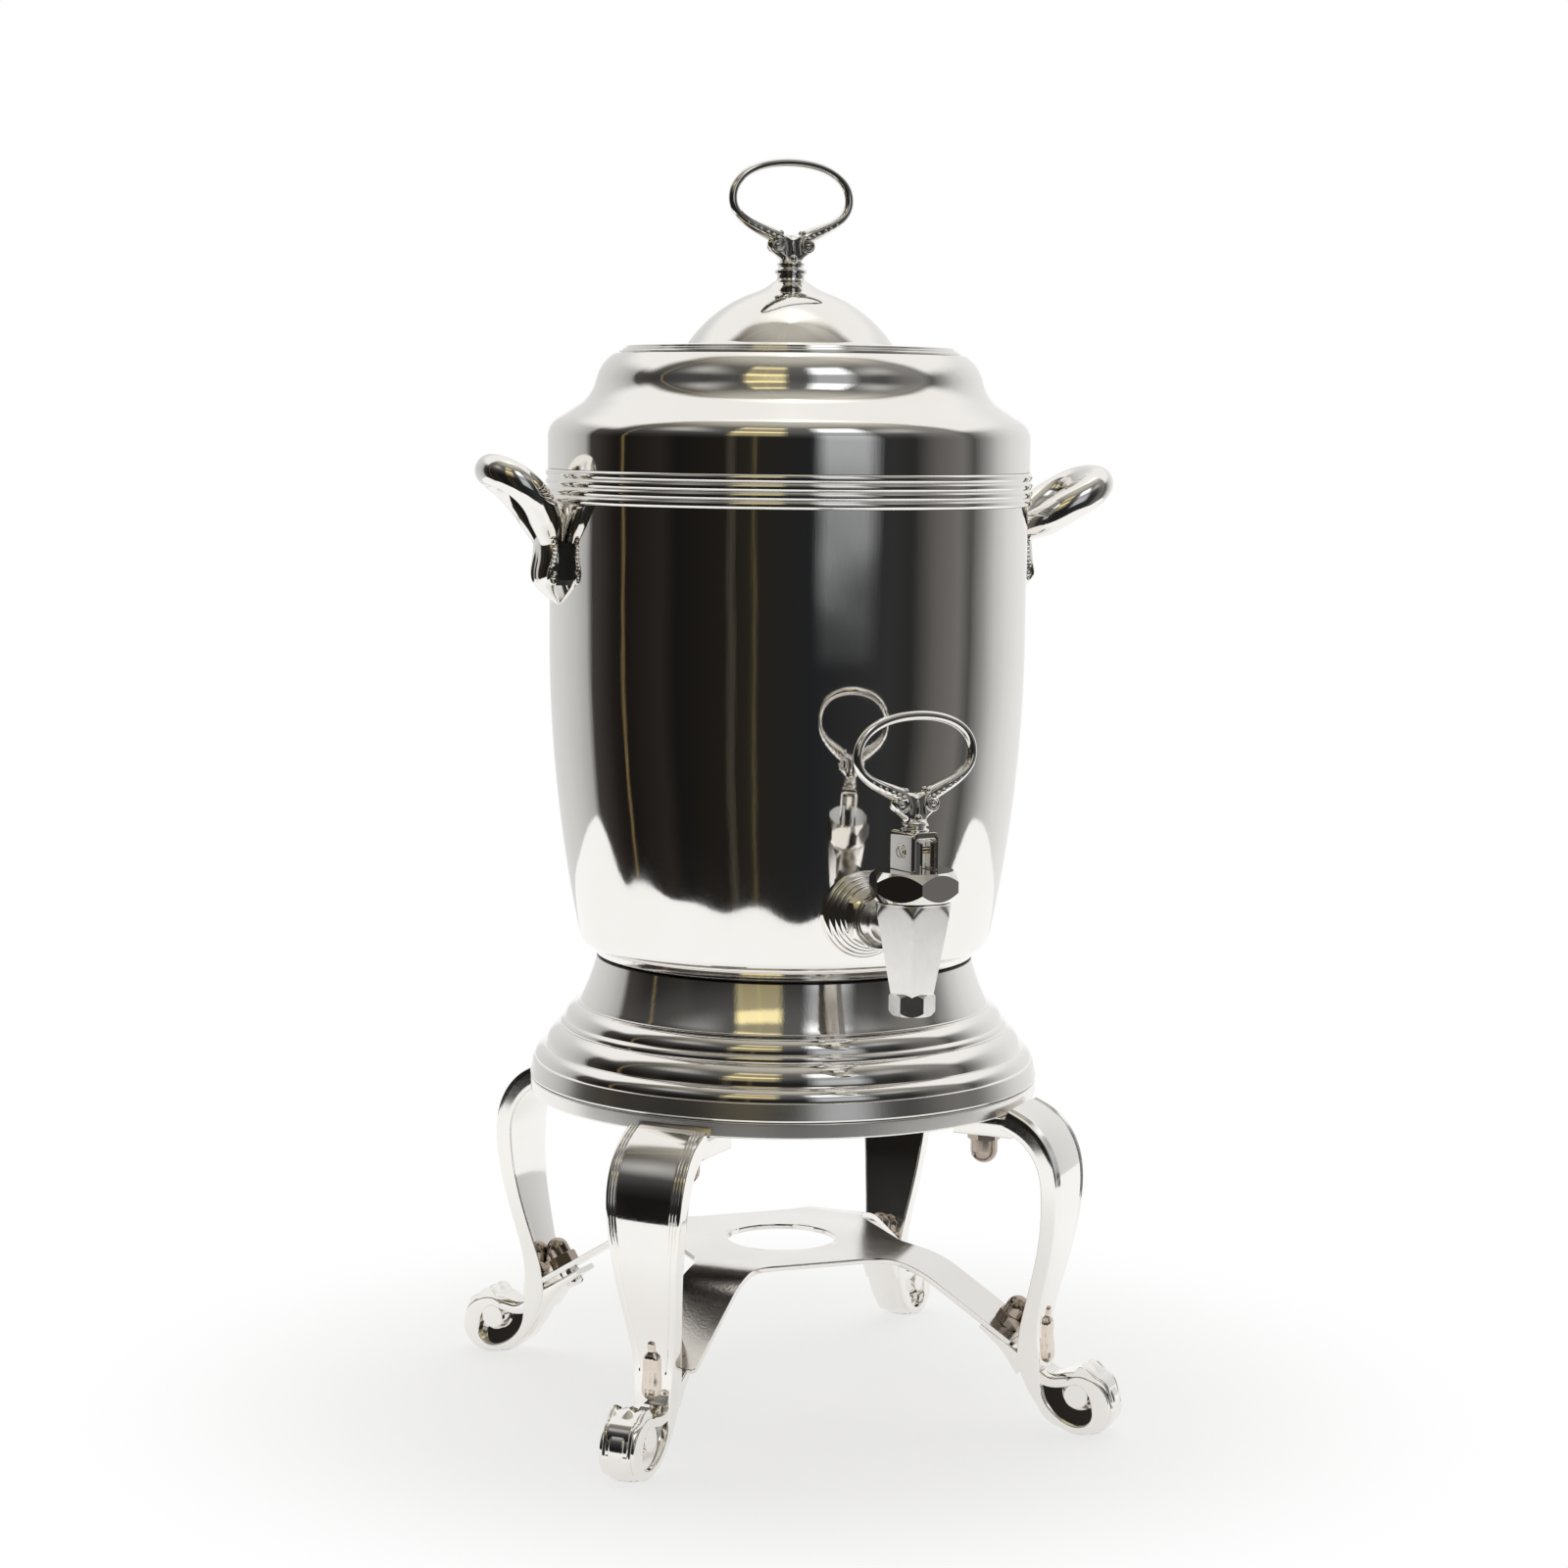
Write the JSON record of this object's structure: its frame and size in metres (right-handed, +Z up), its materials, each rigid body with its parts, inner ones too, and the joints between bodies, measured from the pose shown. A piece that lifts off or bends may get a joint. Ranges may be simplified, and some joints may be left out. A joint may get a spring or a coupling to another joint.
{
  "type": "hot-drink urn on a burner stand",
  "caption": "Tall round plated urn with lid, side handles and a lever tap, on a moulded base and a stand of cabriole legs with scroll feet and a burner tray.",
  "frame": {"origin": "on the floor, on the urn's axis, in the middle of the four feet", "axes": "+Z up along the urn's axis, -Y the way the tap faces, +X to the right-hand handle seen from the tap side"},
  "size_m": [0.308, 0.2982, 0.5665],
  "materials": {
    "silver_plate": "polished silver plate",
    "black_fibre": "black heat-proof fibre",
    "rubber": "moulded rubber",
    "spring_steel": "drawn wire"
  },
  "bodies": {
    "stand": {"stand_ring": "silver_plate", "leg_front_left": "silver_plate", "leg_front_right": "silver_plate", "leg_rear_left": "silver_plate", "leg_rear_right": "silver_plate", "ring_screws": "silver_plate", "ring_nuts": "silver_plate", "burner_tray": "silver_plate", "tray_spacers": "silver_plate", "tray_bolts": "silver_plate", "tray_nuts": "silver_plate", "base": "silver_plate"},
    "urn": {"vessel": "silver_plate", "shoulder": "silver_plate", "reeded_band": "silver_plate", "handle_left": "silver_plate", "handle_right": "silver_plate", "handle_pads": "black_fibre", "handle_screws": "silver_plate", "tap_flange": "silver_plate", "tap_washer": "rubber", "tap_lock_nut": "silver_plate", "tap_union_nut": "silver_plate", "tap_body": "silver_plate", "bonnet_gasket": "black_fibre", "tap_bonnet": "silver_plate"},
    "lid": {"lid_cover": "silver_plate", "lid_ring": "silver_plate", "lid_knob": "silver_plate", "lid_knob_nut": "silver_plate"},
    "stem": {"tap_stem": "silver_plate", "seat_washer": "rubber", "tap_spring": "spring_steel"},
    "lever": {"tap_lever": "silver_plate", "lever_pivot": "silver_plate"}
  },
  "joints": [
    {"name": "urn_lift", "type": "slide", "parent": "stand", "child": "urn", "axis": [0, 0, 1], "range_m": [0, 0.04]},
    {"name": "lid_lift", "type": "slide", "parent": "urn", "child": "lid", "axis": [0, 0, 1], "range_m": [0, 0.06]},
    {"name": "stem_lift", "type": "slide", "parent": "urn", "child": "stem", "axis": [0, 0, 1], "range_m": [0, 0.0047], "stiffness_N_per_m": 200, "springref_m": -0.005, "deforming": ["tap_spring"]},
    {"name": "lever_tilt", "type": "hinge", "parent": "stem", "child": "lever", "pos_m": [0, -0.155, 0.2728], "axis": [0.9781, 0.2079, 0], "range_deg": [0, 30]}
  ],
  "couplings": [
    {"joint": "lever_tilt", "follows": "stem_lift", "rad_per_m": 111.11}
  ]
}
